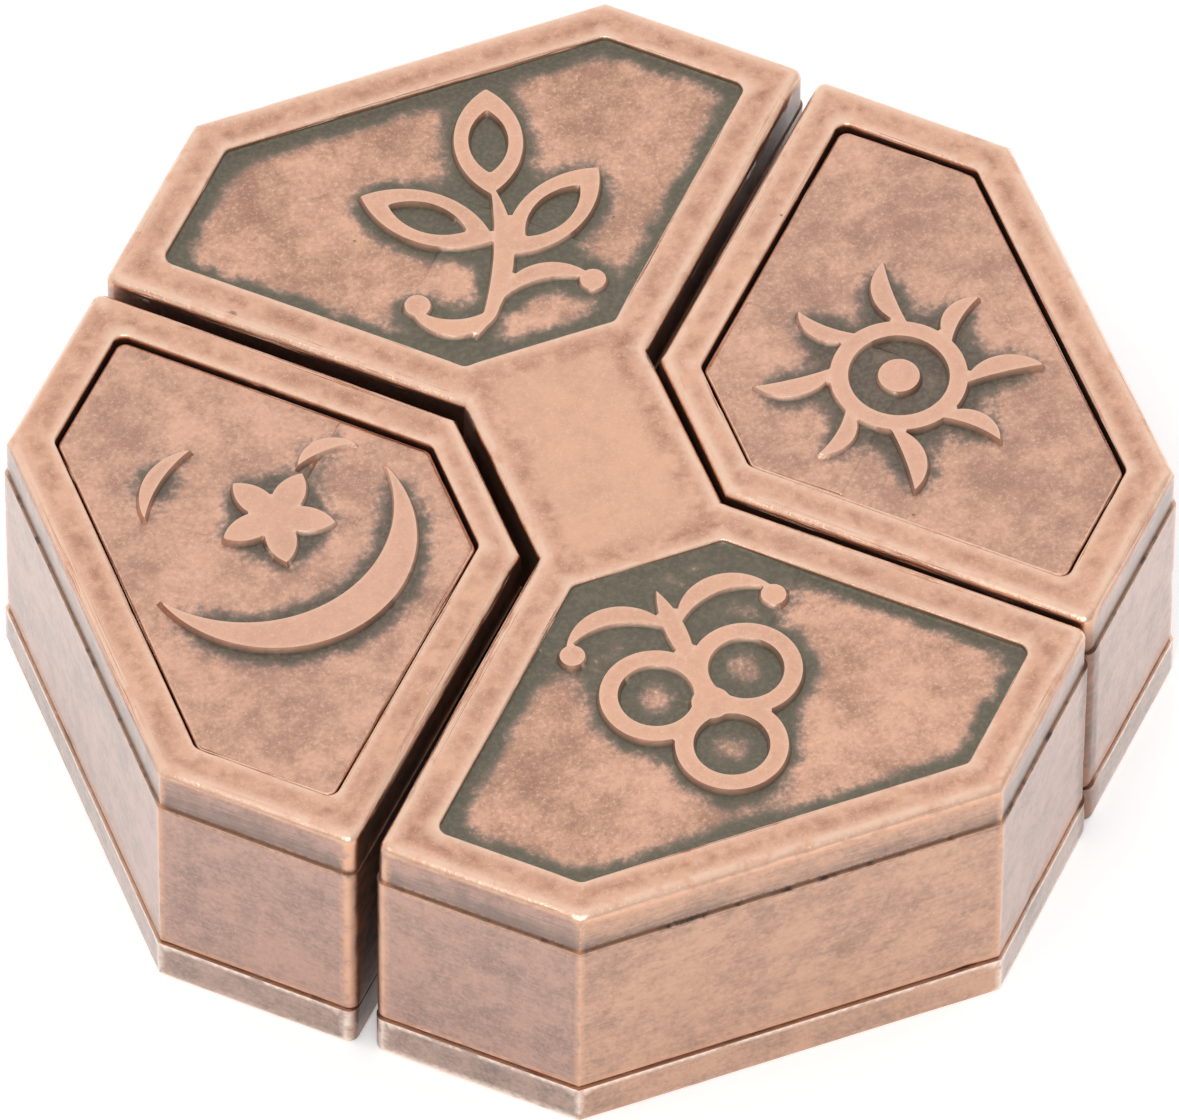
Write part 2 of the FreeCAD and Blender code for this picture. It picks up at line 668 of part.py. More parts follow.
def make_all():
    pieces = [make_ns_body(), make_ew_body(), make_ew_base_plate()]
    for place in (NORTH, SOUTH):
        pieces.append(make_ns_base_plate(place))
        pieces.append(make_lock_pin(place, "ns"))
    for place in (WEST, EAST):
        pieces.append(make_inlay_plate(place))
        pieces.append(make_lock_pin(place, "ew"))
    base_foot = f"{BAND} - Sizes.dowel_depth"
    base_length = "Sizes.dowel_depth + Sizes.dowel_root"
    for label, half, places in (
        ("north_base_dowels", "ns", [NORTH]),
        ("south_base_dowels", "ns", [SOUTH]),
        ("ew_base_dowels", "ew", [WEST, EAST]),
    ):
        pieces.append(dowels(label, half, spots_at(BASE_DOWELS, places), base_foot, base_length))
    inlay_foot = f"{INLAY_FOOT} - Sizes.inlay_dowel_root"
    inlay_length = "Sizes.inlay_dowel_root + Sizes.dowel_depth"
    for place in (WEST, EAST):
        label = f"{BLOCK_NAMES[place]}_inlay_dowels"
        pieces.append(dowels(label, "ew", spots_at(INLAY_DOWELS, [place]), inlay_foot, inlay_length))
    return pieces


def check_and_export(pieces):
    doc.recompute()
    for item in doc.Objects:
        if "Invalid" in item.State or "Error" in item.State:
            raise RuntimeError(f"{item.Name} failed: {item.State}")
    for piece in pieces:
        if piece.Shape.isNull() or not piece.Shape.isValid():
            raise RuntimeError(f"{piece.Label} has no valid shape")
    os.makedirs("parts", exist_ok=True)
    for piece in pieces:
        piece.Shape.exportStep(f"parts/{piece.Label}.step")
        box = piece.Shape.BoundBox
        solids = len(piece.Shape.Solids)
        print(f"{piece.Label}: {solids} solids, {piece.Shape.Volume:.1f} mm3, top {box.ZMax:.2f}")


check_and_export(make_all())
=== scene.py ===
import json
import math

import bmesh
import bpy
import numpy as np
from mathutils import Matrix, Vector, kdtree, noise
from mathutils.bvhtree import BVHTree
from mathutils.geometry import delaunay_2d_cdt


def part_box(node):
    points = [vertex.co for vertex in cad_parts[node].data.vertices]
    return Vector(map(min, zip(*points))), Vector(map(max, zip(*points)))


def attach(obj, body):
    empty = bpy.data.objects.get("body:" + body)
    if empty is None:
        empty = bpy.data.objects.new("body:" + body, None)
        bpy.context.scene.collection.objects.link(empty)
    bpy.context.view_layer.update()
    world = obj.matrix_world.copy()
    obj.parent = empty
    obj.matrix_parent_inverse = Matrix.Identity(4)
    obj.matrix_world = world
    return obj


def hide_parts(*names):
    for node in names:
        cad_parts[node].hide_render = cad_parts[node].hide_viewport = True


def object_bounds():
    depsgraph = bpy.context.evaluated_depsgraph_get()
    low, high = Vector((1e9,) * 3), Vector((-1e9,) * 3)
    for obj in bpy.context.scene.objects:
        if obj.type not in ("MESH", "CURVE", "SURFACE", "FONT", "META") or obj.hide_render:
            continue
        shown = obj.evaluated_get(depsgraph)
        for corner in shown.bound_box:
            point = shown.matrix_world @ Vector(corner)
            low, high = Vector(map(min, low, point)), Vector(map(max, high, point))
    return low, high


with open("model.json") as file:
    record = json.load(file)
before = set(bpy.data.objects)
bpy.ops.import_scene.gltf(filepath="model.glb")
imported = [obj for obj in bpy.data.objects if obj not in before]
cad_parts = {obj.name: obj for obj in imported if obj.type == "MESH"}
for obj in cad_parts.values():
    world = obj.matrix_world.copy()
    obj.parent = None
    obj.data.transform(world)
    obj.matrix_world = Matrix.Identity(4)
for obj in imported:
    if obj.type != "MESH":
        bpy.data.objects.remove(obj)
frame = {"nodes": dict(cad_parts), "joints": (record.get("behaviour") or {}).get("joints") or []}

# The looks of an octagonal take-apart puzzle in antique copper. Lengths in the making of the
# surfaces are in millimetres, and MM turns them into the frame's metres.

MM = 0.001
cad_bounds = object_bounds()

NORTH, WEST, SOUTH, EAST = range(4)

# The relief panels, in millimetres. The rows of points are given by their distance from the edge
# of the relief, negative on top of it.
PANEL_FLOOR, INLAY_TOP = 13.65, 13.7
PANEL_REACH, PANEL_SIDE = 21.3, 1.7
LEVEL_GAP = 0.004
RELIEF_HEIGHT = 0.3
RELIEF_SLOPE = 0.13
RELIEF_SINK = 0.004
DIAMOND_REACH = 14.8
DIAMOND_RISE = 0.1
DIAMOND_SLOPE = 0.16
FOOT_FILLET = 0.14
FOOT_RISE = 0.07
PLATE_EDGE = 0.12
WAVE_HEIGHT, WAVE_LENGTH = 0.012, 2.3
RIPPLE_HEIGHT, RIPPLE_LENGTH = 0.005, 0.6
WAVE_FADE = 0.5
RELIEF_WAVE_SHARE = 0.4
FINE_STEP, MIDDLE_STEP, COARSE_STEP = 0.08, 0.18, 0.36
FINE_REACH, MIDDLE_REACH = 0.13, 0.5
ROW_STEP = 0.08
RELIEF_ROWS = (-0.15, -RELIEF_SLOPE / 2, RELIEF_SLOPE / 2, 0.15)
ROW_CLEARANCE = 0.2

# How finely the rest of a surface is divided, and how rough its skin is, in millimetres.
SKIN_STEP, SIDE_STEP, HIDDEN_STEP = 0.5, 1.0, 2.0
SKIN_FOOT, SKIN_REACH = 12.5, 21.4
SIDE_FOOT, BOTTOM_TOP = 8.0, 0.1
EDGE_ROWS = (0.12, 0.3)
EDGE_SAMPLE_STEP = 0.15
SKIN_WAVE, SKIN_WAVE_LENGTH = 0.015, 3.1
NICK_REACH, NICK_CLEARANCE = 0.45, 0.4
NICK_DEPTH, NICK_SPACING, NICK_THRESHOLD = 0.12, 1.3, 0.28
SHARP_ANGLE = math.radians(40)
CONVEX_ANGLE, CONCAVE_ANGLE = math.radians(6), math.radians(14)

# Where wear and painted highlight, dirt, darkening and painted shade lie, in millimetres, and how
# strong they are.
OUTSIDE_REACH = 22.6
WEAR_AND_HIGHLIGHT_REACH = 0.13
RELIEF_WEAR_AND_HIGHLIGHT, RELIEF_WEAR_AND_HIGHLIGHT_INSET, RELIEF_WEAR_AND_HIGHLIGHT_SPREAD = 0.6, 0.08, 0.006
SEAM_PATINA, SEAM_REACH = 0.45, 0.2
SEAM_TOP = 13.0
BASE_EDGE, WALL_FOOT = 2.15, 2.45
BAND_FOOT, BAND_TOP = 11.72, 13.55
BAND_SEAM = 0.12
BAND_FADE, BAND_SEAM_DARKENING, WALL_FOOT_DARKENING = 0.75, 1.6, 1.4
RIM_SHADE, RIM_SHADE_WIDTH = 0.75, 0.4
GAP_NEAR, GAP_FAR = 0.9, 1.2
GAP_TOP, GAP_FADE = 13.75, 1.4
FIELD_STEP = 0.1
FIELD_BLUR = 0.75
FIELD_MARGIN = 3.0

# The photograph's view: degrees, millimetres off the axis, and metres to the camera.
CAMERA_AZIMUTH, CAMERA_ELEVATION, CAMERA_ROLL = -21.33, 52.28, 0.41
AIM_ACROSS, AIM_UPWARD = 0.037, 4.014
CAMERA_DISTANCE = 0.8699


# ---- Where each half of the puzzle lies -------------------------------------------------------


def half_frame(casting, pin_joint, nominal_degrees):
    """A half's own shift and turn, from its box and from the way its lock pin points."""
    low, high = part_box(casting)
    shift = Vector(((low.x + high.x) / 2, (low.y + high.y) / 2, 0))
    axis = next(joint["axis"] for joint in frame["joints"] if joint["name"] == pin_joint)
    turn = math.atan2(axis[1], axis[0]) - math.radians(nominal_degrees)
    return Matrix.Translation(shift) @ Matrix.Rotation(turn, 4, "Z")


HALF_FRAMES = {
    "ns": half_frame("ns_body", "north_pin_slide", -45),
    "ew": half_frame("ew_body", "west_pin_slide", 45),
}


def block_frame(half, place):
    """From a block drawn pointing north to its place in the puzzle."""
    return HALF_FRAMES[half] @ Matrix.Rotation(math.radians(90 * place), 4, "Z")


# ---- Relief ornaments, drawn on a panel that points north --------------------------------------


def polar(centre, radius, degrees):
    angle = math.radians(degrees)
    return centre[0] + radius * math.cos(angle), centre[1] + radius * math.sin(angle)


def disc_distance(points, centre, radius):
    return np.hypot(points[:, 0] - centre[0], points[:, 1] - centre[1]) - radius


def bulge_circle(start, end, sagitta):
    """The circle of the arc from start to end that swings out by the sagitta to the left."""
    chord = Vector(end) - Vector(start)
    radius = (chord.length_squared / 4 + sagitta**2) / (2 * abs(sagitta))
    left = Vector((-chord.y, chord.x)).normalized()
    middle = (Vector(start) + Vector(end)) / 2
    return middle + left * (sagitta - math.copysign(radius, sagitta)), radius


def blade(start, end, first, second):
    """Signed distance to the shape between two arcs over one chord, negative inside."""

    def distance(points):
        outer, inner = sorted((first, second), key=abs, reverse=True)
        to_outer = disc_distance(points, *bulge_circle(start, end, outer))
        to_inner = disc_distance(points, *bulge_circle(start, end, inner))
        if first * second < 0:
            return np.maximum(to_outer, to_inner)
        return np.maximum(to_outer, -to_inner)

    return distance


def open_leaf(start, end, half_width, stroke):
    inset = 0.45 * stroke / half_width
    inner_start = Vector(start).lerp(Vector(end), inset)
    inner_end = Vector(end).lerp(Vector(start), inset)
    inner = half_width - stroke
    outside = blade(start, end, half_width, -half_width)
    opening = blade(inner_start, inner_end, inner, -inner)
    return lambda points: np.maximum(outside(points), -opening(points))


def disc(centre, radius):
    return lambda points: disc_distance(points, centre, radius)


def ring(centre, outer, inner):
    return lambda points: np.maximum(
        disc_distance(points, centre, outer), -disc_distance(points, centre, inner)
    )


def sprig():
    """Three open leaves on a bent stem with two curled tendrils."""
    return [
        blade((-2.6, 7.4), (1.2, 15.6), -1.5, -0.5),
        open_leaf((1.0, 14.6), (2.9, 20.2), 1.55, 0.75),
        open_leaf((0.3, 12.2), (-4.3, 16.6), 1.45, 0.72),
        open_leaf((0.4, 11.3), (5.9, 14.4), 1.45, 0.72),
        blade((-0.6, 9.2), (-4.4, 10.4), 2.0, 1.0),
        disc((-4.1, 10.1), 0.62),
        blade((-0.9, 8.9), (3.6, 8.6), 1.7, 0.75),
        disc((3.4, 8.75), 0.62),
    ]


def sun():
    """A ring and a boss with eight curved rays."""
    centre = (0.6, 13.8)
    strokes = [ring(centre, 3.0, 2.1), disc(centre, 0.95)]
    for index in range(8):
        angle = 22.5 + 45 * index
        length, inner_sagitta = (6.3, 0.12) if index % 2 else (5.6, 0.25)
        root = polar(centre, 2.75, angle - 9)
        tip = polar(centre, length, angle + 7)
        strokes.append(blade(root, tip, 1.15, inner_sagitta))
    return strokes


def trefoil():
    """Three rings about a boss, on a short stalk with two curled arms."""
    centre = (0.2, 14.2)
    strokes = [disc(centre, 0.9)]
    for index in range(3):
        strokes.append(ring(polar(centre, 2.35, 90 + 120 * index), 2.45, 1.55))
    strokes.append(blade((0.1, 10.2), (-4.6, 9.6), 2.0, 1.0))
    strokes.append(disc((-4.35, 9.8), 0.6))
    strokes.append(blade((0.3, 10.2), (5.0, 9.6), -2.0, -1.0))
    strokes.append(disc((4.75, 9.8), 0.6))
    strokes.append(blade((0.2, 12.6), (0.2, 7.7), 0.5, -0.5))
    return strokes


def moon():
    """A crescent round a five-petalled flower, with two loose blades beyond it."""
    centre = (1.6, 13.6)
    strokes = [blade((2.9, 8.4), (-0.6, 19.9), 6.6, 4.7)]
    for index in range(5):
        angle = 98 + 72 * index
        strokes.append(blade(polar(centre, -0.25, angle), polar(centre, 2.6, angle), 0.72, -0.72))
    strokes.append(blade((3.2, 18.9), (6.2, 15.6), 1.2, 0.4))
    strokes.append(blade((3.7, 11.9), (4.0, 9.0), 1.0, 0.25))
    return strokes


ORNAMENTS = {NORTH: sprig(), WEST: moon(), SOUTH: trefoil(), EAST: sun()}


def relief_distance(points, place):
    return np.min([stroke(points) for stroke in ORNAMENTS[place]], axis=0)


# ---- Surfaces ---------------------------------------------------------------------------------


def smooth_step(value):
    value = np.clip(value, 0.0, 1.0)
    return value * value * (3 - 2 * value)


def inside_distance(points, outline):
    """How far points lie inside a convex outline that runs anticlockwise."""
    nearest = np.full(len(points), np.inf)
    for start, end in zip(outline, np.roll(outline, -1, axis=0), strict=True):
        edge = end - start
        length = np.hypot(*edge)
        if length < 1e-6:
            continue
        normal = np.array((-edge[1], edge[0])) / length
        nearest = np.minimum(nearest, (points - start) @ normal)
    return nearest


def ripple(points, wavelength, seed):
    """Smooth noise between about -1 and 1."""
    return np.array([noise.noise(Vector((x, y, seed)) / wavelength) for x, y in points])


def panel_height(points, outline, place, foot):
    """Height above the panel floor: field, relief, casting ripple and the foot of the rim."""
    inside = inside_distance(points, outline)
    reach = np.abs(points[:, 0]) + np.abs(points[:, 1])
    field = DIAMOND_RISE * smooth_step(0.5 + (DIAMOND_REACH - reach) / DIAMOND_SLOPE)
    relief = smooth_step(0.5 - relief_distance(points, place) / RELIEF_SLOPE)
    edge = np.clip(inside / WAVE_FADE, 0, 1)
    waves = WAVE_HEIGHT * ripple(points, WAVE_LENGTH, place)
    waves = (waves + RIPPLE_HEIGHT * ripple(points, RIPPLE_LENGTH, place)) * edge
    top = RELIEF_HEIGHT - RELIEF_SINK + RELIEF_WAVE_SHARE * (waves - WAVE_HEIGHT)
    height = field + waves
    height = height + (top - height) * relief
    if foot:
        height = height + FOOT_RISE * np.clip(1 - inside / FOOT_FILLET, 0, 1) ** 2
    else:
        height = height * np.clip(inside / PLATE_EDGE, 0, 1)
    return height


def grid_points(outline, step, shift):
    low, high = outline.min(axis=0), outline.max(axis=0)
    xs = np.arange(low[0] + shift, high[0], step)
    ys = np.arange(low[1] + shift, high[1], step)
    return np.stack(np.meshgrid(xs, ys), axis=-1).reshape(-1, 2)


def spread_out(points, spacing):
    """Leaves out every point that lies nearer than the spacing to one that stays."""
    tree = kdtree.KDTree(len(points))
    for index, (x, y) in enumerate(points):
        tree.insert((x, y, 0), index)
    tree.balance()
    kept = np.ones(len(points), dtype=bool)
    for index, (x, y) in enumerate(points):
        if kept[index]:
            for _, other, _ in tree.find_range((x, y, 0), spacing):
                kept[other] = other <= index and kept[other]
    return points[kept]


def row_points(outline, place, level):
    """Points in a row at one distance from the edge of the relief, negative on top of it."""
    points = grid_points(outline, ROW_STEP, 0.0)
    points = points[np.abs(relief_distance(points, place) - level) < ROW_STEP]
    nudge = 0.001
    for _ in range(3):
        distance = relief_distance(points, place)
        slope = [
            (relief_distance(points + np.array(shift), place) - distance) / nudge
            for shift in ((nudge, 0.0), (0.0, nudge))
        ]
        points = points - (distance - level)[:, None] * np.stack(slope, axis=1)
    points = points[np.abs(relief_distance(points, place) - level) < 0.01]
    points = points[inside_distance(points, outline) > 0.1]
    return spread_out(points, 0.75 * ROW_STEP)


def panel_points(outline, place):
    """Inner points of a panel, closer together along the relief and the rim."""
    levels = [row_points(outline, place, level) for level in RELIEF_ROWS]
    for step, low, high in (
        (FINE_STEP, 0.0, FINE_REACH),
        (MIDDLE_STEP, FINE_REACH, MIDDLE_REACH),
        (COARSE_STEP, MIDDLE_REACH, 99.0),
    ):
        points = grid_points(outline, step, step / 2)
        inside = inside_distance(points, outline)
        points = points[inside > 0.6 * min(step, MIDDLE_STEP)]
        to_relief = np.abs(relief_distance(points, place))
        to_field = np.abs(DIAMOND_REACH - np.abs(points).sum(axis=1)) / math.sqrt(2)
        to_rim = inside_distance(points, outline)
        near = np.minimum(np.minimum(to_relief, to_field), to_rim)
        levels.append(points[(near >= low) & (near < high) & (to_relief > ROW_CLEARANCE)])
    return np.concatenate(levels)


def blurred(field, sigma_cells):
    """A Gaussian blur along both axes."""
    reach = int(3 * sigma_cells)
    kernel = np.exp(-0.5 * (np.arange(-reach, reach + 1) / sigma_cells) ** 2)
    kernel = kernel / kernel.sum()
    padded = np.pad(field, reach, mode="edge")
    rows = np.apply_along_axis(np.convolve, 1, padded, kernel, mode="valid")
    return np.apply_along_axis(np.convolve, 0, rows, kernel, mode="valid")


def crowding(points, outline, place, sunk):
    """How closed in each point is by rim and relief: 0 in the open, near 1 in a tight corner."""
    low = outline.min(axis=0) - FIELD_MARGIN
    high = outline.max(axis=0) + FIELD_MARGIN
    xs = np.arange(low[0], high[0], FIELD_STEP)
    ys = np.arange(low[1], high[1], FIELD_STEP)
    cells = np.stack(np.meshgrid(xs, ys), axis=-1).reshape(-1, 2)
    raised = relief_distance(cells, place) < 0
    if sunk:
        raised |= inside_distance(cells, outline) < 0
    field = blurred(raised.astype(float).reshape(len(ys), len(xs)), FIELD_BLUR / FIELD_STEP)
    column = np.clip(((points[:, 0] - low[0]) / FIELD_STEP).round().astype(int), 0, len(xs) - 1)
    row = np.clip(((points[:, 1] - low[1]) / FIELD_STEP).round().astype(int), 0, len(ys) - 1)
    return field[row, column]


# ---- Meshes -----------------------------------------------------------------------------------


def welded_copy(node):
    """The CAD node's surface with its flat faces whole again."""
    mesh = bmesh.new()
    mesh.from_mesh(frame["nodes"][node].data)
    mesh.verts.layers.float.new("in_panel")
    bmesh.ops.remove_doubles(mesh, verts=mesh.verts, dist=0.0005 * MM)
    bmesh.ops.dissolve_limit(
        mesh, angle_limit=math.radians(0.2), verts=mesh.verts, edges=mesh.edges
    )
    return mesh


def feature_trees(mesh):
    """Points along the outward edges of a surface, and along its inward edges below SEAM_TOP."""
    trees = []
    for sign, least_angle in ((1, CONVEX_ANGLE), (-1, CONCAVE_ANGLE)):
        samples = []
        for edge in mesh.edges:
            if not edge.is_manifold:
                continue
            if edge.calc_face_angle_signed() * sign < least_angle:
                continue
            start, end = edge.verts[0].co, edge.verts[1].co
            if sign < 0 and max(start.z, end.z) > SEAM_TOP * MM:
                continue
            count = max(1, int(edge.calc_length() / (EDGE_SAMPLE_STEP * MM)))
            samples += [start.lerp(end, index / count) for index in range(count + 1)]
        tree = kdtree.KDTree(len(samples))
        for index, sample in enumerate(samples):
            tree.insert(sample, index)
        tree.balance()
        trees.append(tree)
    return trees


def to_local(vectors, matrix):
    """World places in metres to a block's own plan in millimetres."""
    inverse = matrix.inverted()
    return np.array([tuple((inverse @ vector).xy / MM) for vector in vectors]).reshape(-1, 2)


def open_panel(mesh, matrix, floor):
    """Takes out the floor, field and relief of a panel. Returns the hole's outer_loop."""
    ahead = matrix.to_3x3() @ Vector((0, 1, 0))
    levels = [floor, floor + DIAMOND_RISE, floor + RELIEF_HEIGHT]
    doomed = []
    for face in mesh.faces:
        heights = [vertex.co.z / MM for vertex in face.verts]
        if min(heights) < floor - LEVEL_GAP or min(heights) > levels[2] + LEVEL_GAP:
            continue
        place = matrix.inverted() @ face.calc_center_median() / MM
        if octagon_reach(place) > PANEL_REACH or place.y - abs(place.x) < PANEL_SIDE:
            continue
        is_flat = face.normal.z > 0.99
        is_low = min(heights) < levels[1] + LEVEL_GAP
        level_gap = min(abs(max(heights) - level) for level in levels)
        if level_gap < LEVEL_GAP and (is_flat or is_low):
            doomed.append(face)
    bmesh.ops.delete(mesh, geom=doomed, context="FACES")
    loop, _ = outer_loop(mesh, matrix, ahead)
    for vertex in loop:
        vertex.co.z = floor * MM
    bmesh.ops.remove_doubles(mesh, verts=loop, dist=0.002 * MM)
    return outer_loop(mesh, matrix, ahead)


def outer_loop(mesh, matrix, ahead):
    """The vertices round a hole, anticlockwise in plan, and their places in the panel's plan."""
    neighbours = {}
    for edge in mesh.edges:
        if edge.is_boundary:
            for vertex in edge.verts:
                if vertex.co.dot(ahead) > 0:
                    neighbours.setdefault(vertex, []).append(edge.other_vert(vertex))
    first = max(neighbours, key=lambda vertex: vertex.co.dot(ahead))
    loop = [first]
    previous, present = first, neighbours[first][0]
    while present is not first and len(loop) < len(neighbours):
        loop.append(present)
        onward = [vertex for vertex in neighbours[present] if vertex is not previous]
        previous, present = present, onward[0]
    plan = to_local([vertex.co for vertex in loop], matrix)
    x, y = plan[:, 0], plan[:, 1]
    if np.sum(x * np.roll(y, -1) - np.roll(x, -1) * y) < 0:
        return loop[::-1], plan[::-1]
    return loop, plan


def fill_panel(mesh, loop, outline, matrix, place, floor, foot):
    """Closes a panel with a finely divided surface that carries the relief."""
    inner = panel_points(outline, place)
    points = np.concatenate((outline, inner))
    count = len(outline)
    border = [(index, (index + 1) % count) for index in range(count)]
    plan = [Vector(point) for point in points]
    _, _, triangles, origins, _, _ = delaunay_2d_cdt(plan, border, [], 1, 1e-5)
    heights = panel_height(points, outline, place, foot)
    vertices = list(loop)
    for (x, y), height in zip(inner, heights[count:], strict=True):
        local = Vector((x * MM, y * MM, (floor + height) * MM))
        vertices.append(mesh.verts.new(matrix @ local))
    for vertex, height in zip(loop, heights[:count], strict=True):
        vertex.co.z = (floor + height) * MM
    new_faces = []
    for triangle in triangles:
        corners = [vertices[origins[corner][0]] for corner in triangle]
        new_faces.append(mesh.faces.new(corners))
    return new_faces


def divide_skin(mesh, half):
    """Divides the flat faces and the strips of the rounded edges into small even triangles."""
    inverse = HALF_FRAMES[half].inverted()
    in_panel = mesh.verts.layers.float["in_panel"]
    groups = {}
    for edge in mesh.edges:
        if min(vertex[in_panel] for vertex in edge.verts) > 0.99:
            continue
        middle = inverse @ ((edge.verts[0].co + edge.verts[1].co) / 2)
        cuts = math.ceil(edge.calc_length() / MM / skin_step(middle / MM)) - 1
        if cuts > 0:
            groups.setdefault(cuts, []).append(edge)
    for cuts, edges in sorted(groups.items()):
        bmesh.ops.bisect_edges(mesh, edges=edges, cuts=cuts)
    for face in list(mesh.faces):
        step = skin_step((inverse @ face.calc_center_median()) / MM)
        if len(face.verts) > 3 and face.calc_area() / MM**2 > 1.5 * step * step:
            fill_flat_face(mesh, face, step)
    many_sided = [face for face in mesh.faces if len(face.verts) > 3]
    bmesh.ops.triangulate(mesh, faces=many_sided, ngon_method="BEAUTY")


def edge_clearance(points, polygon):
    """Distance from points to a polygon's sides, negative outside it."""
    nearest = np.full(len(points), np.inf)
    inside = np.zeros(len(points), dtype=bool)
    for start, end in zip(polygon, np.roll(polygon, -1, axis=0), strict=True):
        edge = end - start
        length_squared = edge @ edge
        if length_squared < 1e-12:
            continue
        along = np.clip((points - start) @ edge / length_squared, 0, 1)
        offset = points - start - along[:, None] * edge
        nearest = np.minimum(nearest, np.hypot(offset[:, 0], offset[:, 1]))
        if start[1] != end[1]:
            spans = (points[:, 1] > min(start[1], end[1])) & (points[:, 1] <= max(start[1], end[1]))
            crossing = start[0] + (points[:, 1] - start[1]) * edge[0] / edge[1]
            inside ^= spans & (points[:, 0] < crossing)
    return np.where(inside, nearest, -nearest)


def fill_flat_face(mesh, face, step):
    """Puts a staggered grid of vertices inside a flat face, and a few rows beside its sides."""
    origin = face.verts[0].co.copy()
    longest = max(face.edges, key=lambda edge: edge.calc_length())
    across = (longest.verts[1].co - longest.verts[0].co).normalized()
    upward = face.normal.cross(across).normalized()
    corners = [vertex.co - origin for vertex in face.verts]
    polygon = np.array([(corner.dot(across), corner.dot(upward)) for corner in corners]) / MM
    low, high = polygon.min(axis=0), polygon.max(axis=0)
    rows = np.arange(low[1] + step / 2, high[1], step * 0.866)
    grid = [
        (x, y)
        for row, y in enumerate(rows)
        for x in np.arange(low[0] + step * (0.5 + 0.5 * (row % 2)), high[0], step)
    ]
    inner = np.array(grid).reshape(-1, 2)
    inner = inner[edge_clearance(inner, polygon) > 0.4 * step + EDGE_ROWS[-1]]
    sides = np.roll(polygon, -1, axis=0) - polygon
    lengths = np.maximum(np.hypot(sides[:, 0], sides[:, 1]), 1e-9)
    inward = np.stack((-sides[:, 1], sides[:, 0]), axis=1) / lengths[:, None]
    for distance in EDGE_ROWS:
        row = polygon + sides / 2 + inward * distance
        row = row[lengths > 0.1]
        row = row[edge_clearance(row, polygon) > 0.9 * distance]
        inner = np.concatenate((inner, row))
    if len(inner) == 0:
        return
    plan = [Vector(point) for point in np.concatenate((polygon, inner))]
    outline = [list(range(len(polygon)))]
    _, _, triangles, origins, _, _ = delaunay_2d_cdt(plan, [], outline, 1, 1e-6)
    if not all(origins):
        return
    vertices = list(face.verts)
    for x, y in inner:
        vertices.append(mesh.verts.new(origin + (across * x + upward * y) * MM))
    mesh.faces.remove(face)
    for triangle in triangles:
        mesh.faces.new([vertices[origins[corner][0]] for corner in triangle])


def octagon_reach(point):
    """How far out a point lies, measured square to the octagon side it is nearest."""
    x, y = abs(point.x), abs(point.y)
    return max(x, y, (x + y) / math.sqrt(2))


def skin_step(point):
    """Wanted edge length at a place, in millimetres."""
    if point.z > SKIN_FOOT or octagon_reach(point) > SKIN_REACH:
        return SKIN_STEP
    if point.z > SIDE_FOOT or point.z < BOTTOM_TOP:
        return SIDE_STEP
    return HIDDEN_STEP


def roughen(mesh, convex, concave):
    """Presses the skin in by hundredths of a millimetre, more at bruised edges.

    Heights stay within the CAD box.
    """
    in_panel = mesh.verts.layers.float["in_panel"]
    mesh.normal_update()
    moves = {}
    for vertex in mesh.verts:
        if vertex[in_panel] > 0.99:
            continue
        place = vertex.co / MM
        wave = 0.5 + 0.5 * noise.noise(place / SKIN_WAVE_LENGTH)
        depth = SKIN_WAVE * wave
        to_edge = convex.find(vertex.co)[2] / MM
        to_seam = concave.find(vertex.co)[2]
        if to_edge < NICK_REACH and (to_seam is None or to_seam > NICK_CLEARANCE * MM):
            bruise = noise.noise(place / NICK_SPACING + Vector((7, 3, 1)))
            strength = max(0.0, bruise - NICK_THRESHOLD)
            depth += NICK_DEPTH * strength * (1 - to_edge / NICK_REACH)
        moves[vertex] = vertex.normal * depth * MM
    for vertex, move in moves.items():
        vertex.co -= move
        vertex.co.z = min(max(vertex.co.z, cad_bounds[0][2]), cad_bounds[1][2])


def other_half_tree(half):
    """The outside of the half that faces this one, for finding the gap between them."""
    bodies = {"ns": ["ew_body", "ew_base_plate"]}
    nodes = bodies.get(half, ["ns_body", "north_base_plate", "south_base_plate"])
    vertices = []
    polygons = []
    for node in nodes:
        data = frame["nodes"][node].data
        start = len(vertices)
        vertices += [vertex.co.copy() for vertex in data.vertices]
        polygons += [[start + index for index in face.vertices] for face in data.polygons]
    return BVHTree.FromPolygons(vertices, polygons)


OTHER_HALF = {half: other_half_tree(half) for half in ("ns", "ew")}


